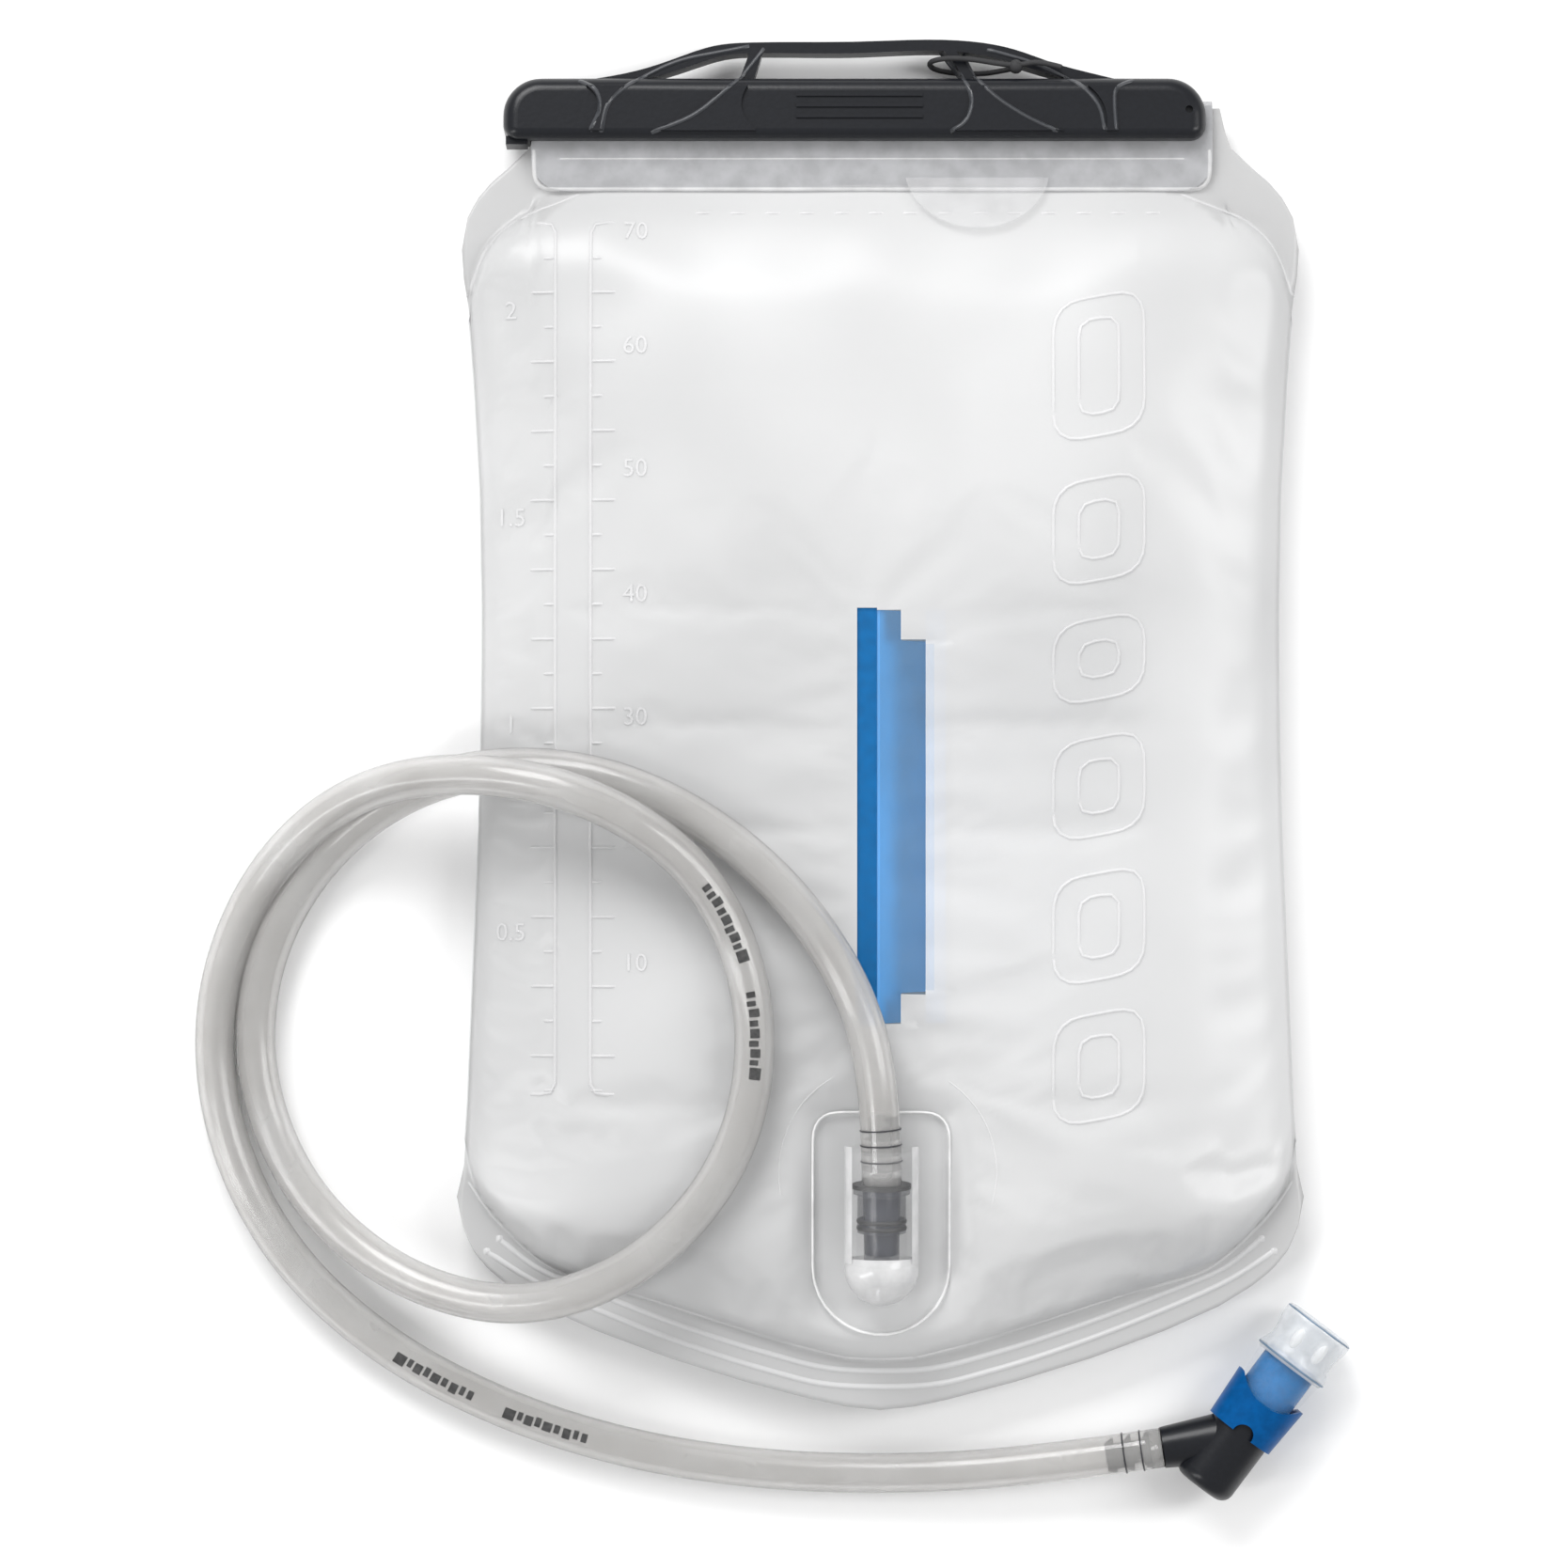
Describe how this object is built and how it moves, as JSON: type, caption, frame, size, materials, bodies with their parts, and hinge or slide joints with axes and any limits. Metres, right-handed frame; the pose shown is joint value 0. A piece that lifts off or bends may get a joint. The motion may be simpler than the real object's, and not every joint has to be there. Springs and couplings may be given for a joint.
{
  "type": "hydration bladder",
  "caption": "Soft translucent drinking-water bladder with a slide-seal mouth, plug-in drink tube and bite valve, lying on its back.",
  "frame": {"origin": "on the ground under the middle of the bladder, with its free drink tube left out", "axes": "+Y from the outlet port to the slide seal, +X to the right of the front panel, +Z out of the front panel"},
  "size_m": [0.2751, 0.3476, 0.0444],
  "materials": {
    "film": "frosted translucent film",
    "clear_mould": "clear moulded plastic",
    "hose": "translucent flexible hose",
    "charcoal": "fine satin moulding",
    "smoke": "smoky moulded plastic",
    "blue": "smooth moulding",
    "baffle_blue": "smooth extrusion",
    "silicone": "clear soft silicone",
    "seal_rubber": "black rubber",
    "cord": "fine braided cord",
    "steel": "drawn wire"
  },
  "bodies": {
    "reservoir": {"front_panel": "film", "back_panel": "film", "mouth_strip": "clear_mould", "pull_tab": "clear_mould", "port_body": "clear_mould", "port_spring": "steel", "baffle_front_track": "baffle_blue", "baffle_back_track": "baffle_blue", "baffle_web": "baffle_blue"},
    "slide_seal": {"slide_seal_bar": "charcoal", "tether_cord": "cord", "tether_knot": "cord"},
    "hose": {"drink_tube": "hose", "hose_connector": "smoke", "connector_seal_rings": "seal_rubber", "connector_rim_gasket": "seal_rubber", "valve_elbow": "charcoal"},
    "shutoff": {"shutoff_collar": "blue", "valve_core": "blue", "core_seal_ring": "seal_rubber", "mouthpiece": "silicone"},
    "poppet": {"port_poppet": "clear_mould"}
  },
  "joints": [
    {"name": "slide_seal_off", "type": "slide", "parent": "reservoir", "child": "slide_seal", "axis": [-1, 0, 0], "range_m": [0, 0.17]},
    {"name": "hose_unplug", "type": "slide", "parent": "reservoir", "child": "hose", "axis": [0, 0.9962, 0.0872], "range_m": [0, 0.0125]},
    {"name": "shutoff_twist", "type": "hinge", "parent": "hose", "child": "shutoff", "pos_m": [0.0758, -0.181, 0.0095], "axis": [0.6, 0.8, 0], "range_deg": [0, 90]},
    {"name": "poppet_close", "type": "slide", "parent": "reservoir", "child": "poppet", "axis": [0, 0.9962, 0.0872], "range_m": [0, 0.003], "deforming": ["port_spring"]}
  ],
  "couplings": [
    {"joint": "poppet_close", "follows": "hose_unplug", "ratio": 0.24}
  ]
}
